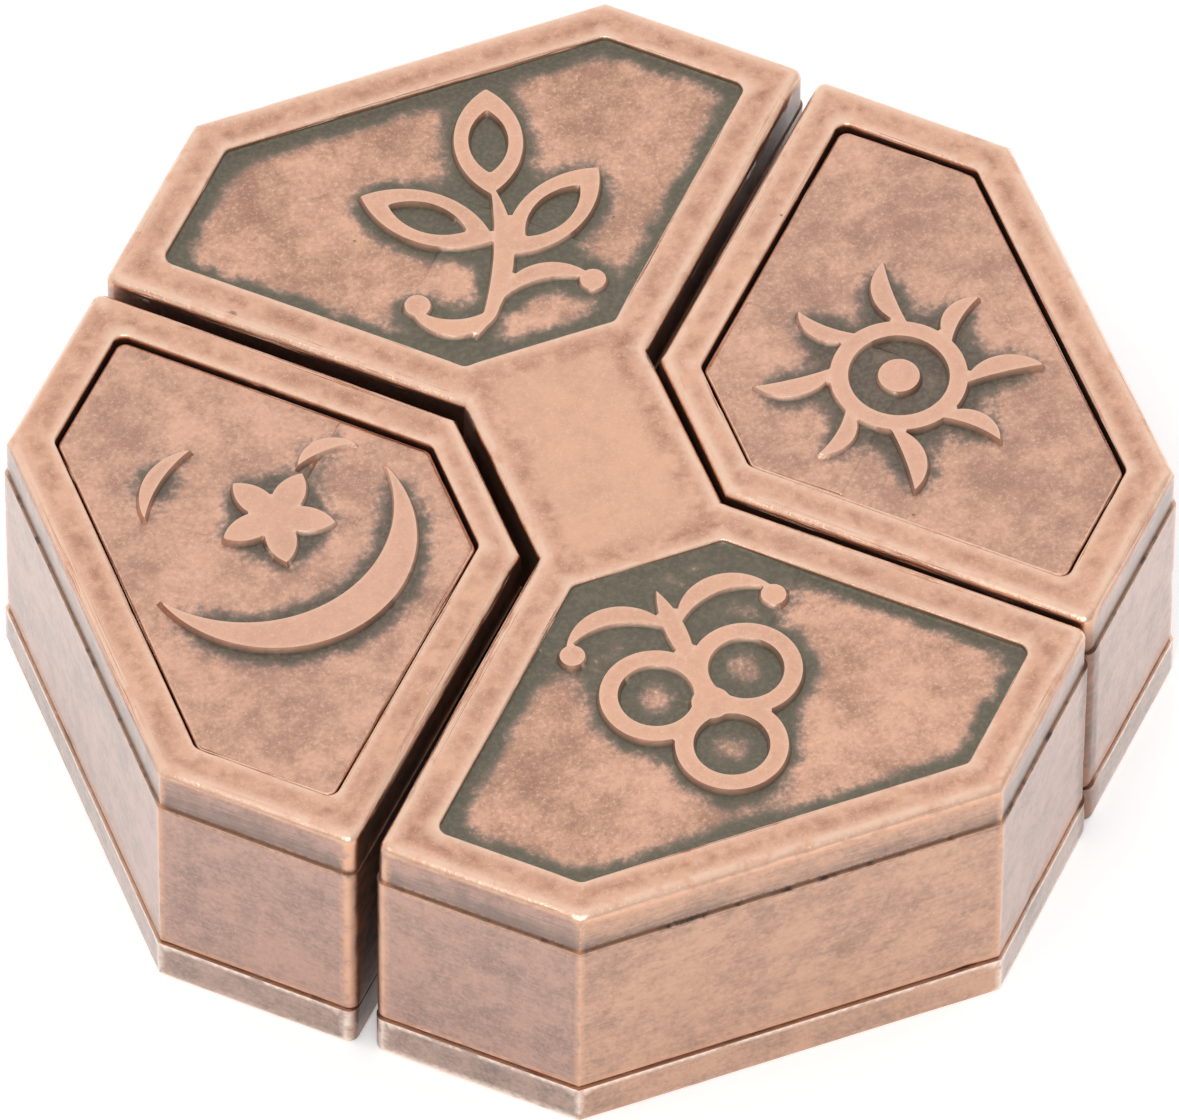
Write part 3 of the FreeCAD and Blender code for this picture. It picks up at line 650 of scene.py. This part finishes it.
def surface_masks(mesh, node, panels, convex, concave, half):
    """Where a surface is tarnished, raised, worn and highlit, darkened or shaded, or faces the
    other half.
    """
    mesh.verts.index_update()
    count = len(mesh.verts)
    patina = np.zeros(count)
    raised = np.zeros(count)
    wear_and_highlight = np.zeros(count)
    gap = np.zeros(count)
    band = np.zeros(count)
    recess = np.zeros(count)
    shade = np.zeros(count)
    inverse = HALF_FRAMES[half].inverted()
    for vertex in mesh.verts:
        index = vertex.index
        to_edge = convex.find(vertex.co)[2] / MM
        wear_and_highlight[index] = math.exp(-((to_edge / WEAR_AND_HIGHLIGHT_REACH) ** 2))
        shade[index] = math.exp(-(((to_edge - RIM_SHADE) / RIM_SHADE_WIDTH) ** 2))
        _, _, seam = concave.find(vertex.co)
        if seam is not None:
            patina[index] = SEAM_PATINA * math.exp(-((seam / MM / SEAM_REACH) ** 2))
        # How near the other half and how far below the top: where the painted shade of the gap
        # goes.
        _, _, _, apart = OTHER_HALF[half].find_nearest(vertex.co)
        near = (GAP_FAR - apart / MM) / (GAP_FAR - GAP_NEAR)
        below = (GAP_TOP - vertex.co.z / MM) / GAP_FADE
        gap[index] = min(max(near, 0.0), 1.0) * min(max(below, 0.0), 1.0)
        local = inverse @ vertex.co / MM
        if octagon_reach(local) <= OUTSIDE_REACH:
            continue
        if BAND_FOOT < local.z < BAND_TOP:
            band[index] = 1 - BAND_FADE * (local.z - BAND_FOOT) / (BAND_TOP - BAND_FOOT)
            if local.z < BAND_FOOT + BAND_SEAM:
                band[index] = BAND_SEAM_DARKENING
        if node.endswith("_body") and local.z < WALL_FOOT:
            band[index] = WALL_FOOT_DARKENING
            wear_and_highlight[index] = 0
        # The base plate's top edge counts as fully rubbed: a painted highlight line along its
        # ledge.
        if node.endswith("_base_plate") and local.z > BASE_EDGE:
            wear_and_highlight[index] = 1
    in_panel = mesh.verts.layers.float["in_panel"]
    for place, matrix, outline, sunk in panels:
        ahead = matrix.to_3x3() @ Vector((0, 1, 0))
        members = [
            vertex for vertex in mesh.verts if vertex[in_panel] > 0.99 and vertex.co.dot(ahead) > 0
        ]
        indices = np.array([vertex.index for vertex in members])
        points = to_local([vertex.co for vertex in members], matrix)
        distance = relief_distance(points, place)
        patina[indices] = crowding(points, outline, place, sunk)
        raised[indices] = smooth_step(0.5 - distance / RELIEF_SLOPE)
        # A thin line just inside the relief's edge counts as rubbed: wear, with a painted highlight
        # on its top.
        from_ridge = distance + RELIEF_WEAR_AND_HIGHLIGHT_INSET
        wear_and_highlight[indices] = RELIEF_WEAR_AND_HIGHLIGHT * np.exp(-(from_ridge**2) / RELIEF_WEAR_AND_HIGHLIGHT_SPREAD)
        recess[indices] = 1 - raised[indices]
        shade[indices] = 0
    return {
        "patina": patina,
        "raised": raised,
        "wear_and_highlight": wear_and_highlight,
        "gap": gap,
        "band": band,
        "recess": recess,
        "shade": shade,
    }


def build_piece(node, body, half, material, panels=()):
    """Makes a finely divided stand-in for a CAD node, with its panels modelled in full."""
    mesh = welded_copy(node)
    convex, concave = feature_trees(mesh)
    in_panel = mesh.verts.layers.float["in_panel"]
    filled = []
    for place, floor, foot in panels:
        matrix = block_frame(half, place)
        loop, outline = open_panel(mesh, matrix, floor)
        for face in fill_panel(mesh, loop, outline, matrix, place, floor, foot):
            for vertex in face.verts:
                vertex[in_panel] = 1.0
        filled.append((place, matrix, outline, foot))
    divide_skin(mesh, half)
    roughen(mesh, convex, concave)
    bmesh.ops.recalc_face_normals(mesh, faces=mesh.faces)
    for edge in mesh.edges:
        edge.smooth = not edge.is_manifold or edge.calc_face_angle() < SHARP_ANGLE
    for face in mesh.faces:
        face.smooth = True
    masks = surface_masks(mesh, node, filled, convex, concave, half)
    data = bpy.data.meshes.new(f"{node}_surface")
    mesh.to_mesh(data)
    mesh.free()
    for name, values in masks.items():
        layer = data.attributes.new(name, "FLOAT", "POINT")
        layer.data.foreach_set("value", values.astype(np.float32))
    data.materials.append(material)
    piece = bpy.data.objects.new(f"{node}_surface", data)
    bpy.context.scene.collection.objects.link(piece)
    weighted = piece.modifiers.new("flat faces stay flat", "WEIGHTED_NORMAL")
    weighted.keep_sharp = True
    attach(piece, body)
    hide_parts(node)


# ---- Materials --------------------------------------------------------------------------------


def srgb(red, green, blue):
    """A colour from its screen values, 0 to 255."""
    return tuple(
        value / 12.92 if value <= 0.04045 else ((value + 0.055) / 1.055) ** 2.4
        for value in (red / 255, green / 255, blue / 255)
    ) + (1.0,)


class Shader:
    """A short way to write a node tree. Textures are scaled in millimetres."""

    def __init__(self, name):
        self.material = bpy.data.materials.new(name)
        self.material.use_nodes = True
        self.nodes = self.material.node_tree.nodes
        self.links = self.material.node_tree.links
        self.surface = self.nodes["Principled BSDF"]
        place = self.nodes.new("ShaderNodeTexCoord").outputs["Object"]
        self.place = self.vector_math("SCALE", place, scale=1 / MM)

    def join(self, value, socket):
        if isinstance(value, bpy.types.NodeSocket):
            self.links.new(value, socket)
        elif value is not None:
            socket.default_value = value

    def vector_math(self, operation, first, second=None, scale=None):
        node = self.nodes.new("ShaderNodeVectorMath")
        node.operation = operation
        self.join(first, node.inputs[0])
        self.join(second, node.inputs[1])
        self.join(scale, node.inputs[3])
        return node.outputs[0]

    def math(self, operation, first, second=None):
        node = self.nodes.new("ShaderNodeMath")
        node.operation = operation
        self.join(first, node.inputs[0])
        self.join(second, node.inputs[1])
        return node.outputs[0]

    def total(self, *terms):
        """The sum of weight times value over the terms."""
        result = None
        for weight, value in terms:
            node = self.nodes.new("ShaderNodeMath")
            node.operation = "MULTIPLY_ADD"
            self.join(value, node.inputs[0])
            node.inputs[1].default_value = weight
            self.join(result if result is not None else 0.0, node.inputs[2])
            result = node.outputs[0]
        return result

    def attribute(self, name):
        node = self.nodes.new("ShaderNodeAttribute")
        node.attribute_name = name
        return node.outputs["Fac"]

    def noise(self, size, detail=3.0, roughness=0.55, distortion=0.0, place=None):
        """Noise whose blotches are about size millimetres across."""
        node = self.nodes.new("ShaderNodeTexNoise")
        self.join(place if place is not None else self.place, node.inputs["Vector"])
        node.inputs["Scale"].default_value = 1 / size
        node.inputs["Detail"].default_value = detail
        node.inputs["Roughness"].default_value = roughness
        node.inputs["Distortion"].default_value = distortion
        return node.outputs["Fac"]

    def stretched(self, sizes):
        """The place, squeezed so that noise of size 1 has these sizes along x, y and z."""
        return self.vector_math("MULTIPLY", self.place, tuple(1 / size for size in sizes))

    def step(self, value, low, high):
        """Rises smoothly from 0 at low to 1 at high, which may be the lower of the two."""
        node = self.nodes.new("ShaderNodeMapRange")
        node.interpolation_type = "SMOOTHSTEP"
        self.join(value, node.inputs["Value"])
        node.inputs["From Min"].default_value = low
        node.inputs["From Max"].default_value = high
        return node.outputs["Result"]

    def mix(self, factor, first, second):
        node = self.nodes.new("ShaderNodeMix")
        node.data_type = "RGBA"
        self.join(factor, node.inputs[0])
        self.join(first, node.inputs[6])
        self.join(second, node.inputs[7])
        return node.outputs[2]

    def scratches(self, degrees, spacing, length, coverage):
        """Fine short straight marks across a surface, 1 on a mark."""
        turn = self.nodes.new("ShaderNodeVectorRotate")
        turn.rotation_type = "Z_AXIS"
        self.join(self.place, turn.inputs["Vector"])
        turn.inputs["Angle"].default_value = math.radians(degrees)
        stretched = self.vector_math("MULTIPLY", turn.outputs[0], (1 / length, 1 / spacing, 1.0))
        lines = self.noise(1.0, 1.0, 0.4, 0.0, stretched)
        closeness = self.math("ABSOLUTE", self.math("SUBTRACT", lines, 0.5))
        thin = self.step(closeness, 0.012, 0.0)
        patches = self.step(self.noise(3.0, 1.0), 1 - coverage, 1.08 - coverage)
        return self.math("MULTIPLY", thin, patches)

    def pits(self, spacing, radius, share):
        """Small round pits, 1 in a pit."""
        node = self.nodes.new("ShaderNodeTexVoronoi")
        self.join(self.place, node.inputs["Vector"])
        node.inputs["Scale"].default_value = 1 / spacing
        chosen = self.math("LESS_THAN", node.outputs["Color"], share)
        round_pit = self.step(node.outputs["Distance"], radius / spacing, 0.4 * radius / spacing)
        return self.math("MULTIPLY", round_pit, chosen)

    def bump(self, height, strength, distance_mm):
        node = self.nodes.new("ShaderNodeBump")
        node.inputs["Strength"].default_value = strength
        node.inputs["Distance"].default_value = distance_mm * MM
        self.join(height, node.inputs["Height"])
        return node.outputs["Normal"]


def facing(shader):
    """The parts of the normal along x, y and z."""
    normal = shader.nodes.new("ShaderNodeNewGeometry").outputs["Normal"]
    split = shader.nodes.new("ShaderNodeSeparateXYZ")
    shader.links.new(normal, split.inputs[0])
    return split.outputs


def copper_material(name, bright, dusky, side, side_dusky, dirt, edge, tarnish_shift=0.0):
    """Antique copper: bright where it is rubbed, brown and olive where it is not. Upright faces and
    the gap between the halves carry painted shade, south-facing walls painted light, and
    upward-facing rubbed edges a painted highlight.
    """
    shader = Shader(name)
    clouds = shader.noise(3.2, 4.0, 0.5, 0.3)
    smudges = shader.noise(0.9, 4.0, 0.6, 0.2)
    grain = shader.noise(0.22, 3.0, 0.6)
    speckle = shader.noise(0.1, 2.0, 0.6)
    streaks = shader.noise(1.0, 3.0, 0.6, 0.0, shader.stretched((2.2, 2.2, 0.16)))
    across = facing(shader)
    wall = shader.step(shader.math("ABSOLUTE", across[2]), 0.75, 0.15)
    south_lit = shader.step(across[1], -0.82, -0.98)
    patina = shader.attribute("patina")
    raised = shader.attribute("raised")
    wear_and_highlight = shader.attribute("wear_and_highlight")
    gap = shader.attribute("gap")
    band = shader.attribute("band")
    recess = shader.attribute("recess")
    shade = shader.attribute("shade")
    bare = shader.math("SUBTRACT", 1.0, raised)
    rough_skin = shader.total((0.3, 1.0), (0.7, recess))

    tone = shader.total((0.45, clouds), (0.30, smudges), (0.25, grain), (0.05, recess))
    tone = shader.math("MULTIPLY", shader.step(tone, 0.40, 0.70), rough_skin)
    colour = shader.mix(tone, bright, dusky)
    shaded = shader.math("MULTIPLY", shade, shader.step(smudges, 0.3, 0.7))
    colour = shader.mix(shaded, colour, srgb(178, 126, 98))
    # Upright faces take darker, greyer side colours than the tops: painted shade for the dimmer
    # light that walls catch.
    side_tone = shader.total((0.3, clouds), (0.3, smudges), (0.25, grain), (0.15, streaks))
    side_dark = shader.step(side_tone, 0.40, 0.66)
    shaded_side_colour = shader.mix(side_dark, side, side_dusky)
    # South-facing walls take a warmer, lighter side colour: painted light.
    painted_south_light = shader.math("MULTIPLY", south_lit, 0.75)
    south_lit_colour = shader.mix(side_dark, srgb(204, 158, 127), srgb(160, 120, 97))
    shaded_side_colour = shader.mix(painted_south_light, shaded_side_colour, south_lit_colour)
    colour = shader.mix(wall, colour, shaded_side_colour)
    dark_specks = shader.step(shader.total((0.6, speckle), (0.4, smudges)), 0.56, 0.68)
    dark_specks = shader.math("MULTIPLY", dark_specks, rough_skin)
    colour = shader.mix(shader.math("MULTIPLY", dark_specks, 0.4), colour, srgb(154, 114, 98))
    light_specks = shader.step(shader.total((0.7, speckle), (0.3, grain)), 0.46, 0.34)
    light_specks = shader.math("MULTIPLY", light_specks, shader.total((0.42, 1.0), (-0.3, wall)))
    colour = shader.mix(light_specks, colour, srgb(246, 208, 182))

    tarnish = shader.total(
        (1.0, patina), (0.40, clouds), (0.40, smudges), (0.32, grain), (tarnish_shift, 1.0)
    )
    near = shader.math("MULTIPLY", shader.step(patina, 0.03, 0.2), bare)
    smoke = shader.math("MULTIPLY", shader.step(tarnish, 0.55, 0.76), near)
    grime = shader.math("MULTIPLY", shader.step(tarnish, 0.64, 0.86), near)
    colour = shader.mix(shader.math("MULTIPLY", smoke, 0.75), colour, srgb(156, 128, 116))
    olive = shader.mix(shader.step(grain, 0.4, 0.65), dirt, srgb(122, 112, 93))
    olive = shader.mix(recess, srgb(104, 84, 72), olive)
    colour = shader.mix(grime, colour, olive)
    # The upright band under the rim is darker towards its foot, darkest at its seam and at the wall
    # foot. South-facing faces get a little less of it, which is painted light.
    band_darkening_tone = shader.total((1.0, band), (0.7, streaks), (0.6, clouds), (0.3, smudges), (-0.2, south_lit))
    band_darkening = shader.math("MULTIPLY", shader.step(band_darkening_tone, 1.0, 1.75), 0.8)
    band_darkening = shader.math("MULTIPLY", band_darkening, shader.step(band, 0.0, 0.2))
    colour = shader.mix(band_darkening, colour, srgb(116, 96, 86))

    # Rubbed edges turn to lighter copper, which is wear; the cream colour on upward-facing edges is
    # a painted highlight.
    worn_and_highlit = shader.math("MULTIPLY", wear_and_highlight, shader.step(smudges, 0.3, 0.5))
    polish_and_highlight = shader.mix(wall, srgb(244, 206, 180), edge)
    colour = shader.mix(shader.math("MULTIPLY", worn_and_highlit, 0.85), colour, polish_and_highlight)
    pits = shader.pits(1.3, 0.09, 0.2)
    colour = shader.mix(shader.math("MULTIPLY", pits, 0.6), colour, srgb(86, 66, 54))
    # Faces towards the other half turn dark brown, more so deeper down: painted shade in the narrow
    # gap between the halves.
    gap_shade_tone = shader.step(shader.total((0.5, side_tone), (0.5, smudges)), 0.38, 0.6)
    gap_shade_colour = shader.mix(gap_shade_tone, srgb(152, 99, 68), srgb(100, 66, 48))
    colour = shader.mix(shader.math("MULTIPLY", gap, 0.92), colour, gap_shade_colour)
    shader.join(colour, shader.surface.inputs["Base Color"])
    shader.surface.inputs["Metallic"].default_value = 1.0
    shader.surface.inputs["Coat Weight"].default_value = 0.9
    shader.surface.inputs["Coat Roughness"].default_value = 0.22

    marks = shader.total(
        (1.0, shader.scratches(24, 0.16, 3.2, 0.42)),
        (1.0, shader.scratches(-38, 0.2, 2.6, 0.4)),
        (1.0, shader.scratches(81, 0.22, 2.2, 0.38)),
    )
    dull = shader.math("MAXIMUM", grime, gap)
    roughness = shader.total((0.29, 1.0), (0.24, dull), (0.18, smudges), (-0.1, worn_and_highlit))
    shader.join(roughness, shader.surface.inputs["Roughness"])
    height = shader.total(
        (0.4, clouds), (0.5, smudges), (0.5, grain), (0.3, speckle), (-0.1, marks), (-0.9, pits)
    )
    height = shader.math("MULTIPLY", height, shader.total((1.0, 1.0), (-0.55, wall)))
    shader.join(shader.bump(height, 1.0, 0.035), shader.surface.inputs["Normal"])
    return shader.material


def steel_material():
    """Turned bright steel with fine tool lines across the pin and a little dirt."""
    shader = Shader("pin_steel")
    rings = shader.noise(1.0, 2.0, 0.5, 0.0, shader.stretched((0.12, 0.12, 0.5)))
    dirt = shader.noise(1.4, 4.0, 0.6, 0.3)
    colour = shader.mix(shader.step(dirt, 0.45, 0.75), srgb(196, 194, 190), srgb(128, 122, 116))
    shader.join(colour, shader.surface.inputs["Base Color"])
    shader.surface.inputs["Metallic"].default_value = 1.0
    shader.join(shader.total((0.22, 1.0), (0.3, dirt)), shader.surface.inputs["Roughness"])
    shader.join(shader.bump(rings, 0.6, 0.02), shader.surface.inputs["Normal"])
    return shader.material


def floor_material():
    shader = Shader("pale_floor")
    grain = shader.noise(4.0, 3.0)
    colour = shader.mix(grain, (0.93, 0.93, 0.93, 1.0), (0.96, 0.96, 0.96, 1.0))
    shader.join(colour, shader.surface.inputs["Base Color"])
    shader.surface.inputs["Roughness"].default_value = 0.9
    shader.surface.inputs["Specular IOR Level"].default_value = 0.1
    shader.surface.inputs["Emission Color"].default_value = (1.0, 1.0, 1.0, 1.0)
    shader.surface.inputs["Emission Strength"].default_value = 0.24
    return shader.material


# ---- The puzzle -------------------------------------------------------------------------------

# Each copper's side colours, darker and greyer than its top colours, are painted shade on upright
# faces.
CASTING = copper_material(
    "casting_copper",
    bright=srgb(230, 178, 149),
    dusky=srgb(172, 127, 104),
    side=srgb(182, 143, 127),
    side_dusky=srgb(140, 110, 97),
    dirt=srgb(104, 98, 80),
    edge=srgb(226, 172, 138),
)
INLAY = copper_material(
    "inlay_copper",
    bright=srgb(228, 177, 150),
    dusky=srgb(176, 133, 112),
    side=srgb(180, 146, 130),
    side_dusky=srgb(150, 120, 106),
    dirt=srgb(104, 88, 76),
    edge=srgb(226, 172, 138),
    tarnish_shift=-0.06,
)
# The base plate's pale top colour and near-white edge colour paint a highlight line along its
# ledge.
BASE = copper_material(
    "base_copper",
    bright=srgb(236, 206, 188),
    dusky=srgb(190, 156, 138),
    side=srgb(176, 146, 132),
    side_dusky=srgb(122, 104, 94),
    dirt=srgb(112, 96, 84),
    edge=srgb(250, 232, 218),
)

build_piece(
    "ns_body",
    "ns_half",
    "ns",
    CASTING,
    [(NORTH, PANEL_FLOOR, True), (SOUTH, PANEL_FLOOR, True)],
)
build_piece("ew_body", "ew_half", "ew", CASTING)
build_piece("west_inlay_plate", "ew_half", "ew", INLAY, [(WEST, INLAY_TOP, False)])
build_piece("east_inlay_plate", "ew_half", "ew", INLAY, [(EAST, INLAY_TOP, False)])
build_piece("north_base_plate", "ns_half", "ns", BASE)
build_piece("south_base_plate", "ns_half", "ns", BASE)
build_piece("ew_base_plate", "ew_half", "ew", BASE)

STEEL = steel_material()
for name, node in frame["nodes"].items():
    if name.endswith(("_pin", "_dowels")):
        node.data.materials.clear()
        node.data.materials.append(STEEL)


# ---- Studio -----------------------------------------------------------------------------------


def add_floor():
    data = bpy.data.meshes.new("studio_floor")
    size = 0.7
    corners = [(-size, -size, 0), (size, -size, 0), (size, size, 0), (-size, size, 0)]
    data.from_pydata(corners, [], [(0, 1, 2, 3)])
    data.materials.append(floor_material())
    floor = bpy.data.objects.new("studio_floor", data)
    floor.location.z = cad_bounds[0][2]
    bpy.context.scene.collection.objects.link(floor)


def add_softbox(name, direction, distance, size, power):
    """A square light that looks at the puzzle. Distance and size in metres."""
    light = bpy.data.lights.new(name, "AREA")
    light.size = size
    light.energy = power
    lamp = bpy.data.objects.new(name, light)
    towards = Vector(direction).normalized()
    lamp.location = towards * distance
    lamp.rotation_euler = towards.to_track_quat("Z", "Y").to_euler()
    bpy.context.scene.collection.objects.link(lamp)


def add_camera():
    azimuth, elevation = math.radians(CAMERA_AZIMUTH), math.radians(CAMERA_ELEVATION)
    ahead = Vector(
        (
            -math.sin(azimuth) * math.cos(elevation),
            math.cos(azimuth) * math.cos(elevation),
            -math.sin(elevation),
        )
    )
    across = ahead.cross(Vector((0, 0, 1))).normalized()
    upward = across.cross(ahead)
    aim = (across * AIM_ACROSS + upward * AIM_UPWARD) * MM
    data = bpy.data.cameras.new("photo_camera")
    data.lens = 618.9
    data.sensor_width = 36.0
    data.clip_start = 0.05
    data.clip_end = 10.0
    camera = bpy.data.objects.new("photo_camera", data)
    axes = Matrix((across, upward, -ahead)).transposed()
    camera.matrix_world = (
        Matrix.Translation(aim - ahead * CAMERA_DISTANCE)
        @ axes.to_4x4()
        @ Matrix.Rotation(math.radians(CAMERA_ROLL), 4, "Z")
    )
    bpy.context.scene.collection.objects.link(camera)
    bpy.context.scene.camera = camera


def add_world():
    world = bpy.data.worlds.new("studio_sky")
    world.use_nodes = True
    nodes, links = world.node_tree.nodes, world.node_tree.links
    background = nodes["Background"]
    split = nodes.new("ShaderNodeSeparateXYZ")
    links.new(nodes.new("ShaderNodeTexCoord").outputs["Generated"], split.inputs[0])
    tilt = nodes.new("ShaderNodeMath")
    tilt.operation = "MULTIPLY_ADD"
    tilt.inputs[1].default_value = 0.9
    links.new(split.outputs[2], tilt.inputs[0])
    links.new(split.outputs[1], tilt.inputs[2])
    sky = nodes.new("ShaderNodeValToRGB")
    sky.color_ramp.elements[0].position = 0.0
    sky.color_ramp.elements[0].color = (0.66, 0.66, 0.66, 1.0)
    sky.color_ramp.elements[1].position = 0.7
    sky.color_ramp.elements[1].color = (1.0, 1.0, 1.0, 1.0)
    links.new(tilt.outputs[0], sky.inputs[0])
    links.new(sky.outputs[0], background.inputs["Color"])
    background.inputs["Strength"].default_value = 1.0
    bpy.context.scene.world = world


add_floor()
add_world()
add_softbox("front_softbox", (-0.35, -0.68, 0.64), 0.5, 0.3, 0.85)
add_camera()
bpy.context.scene.view_settings.view_transform = "Standard"
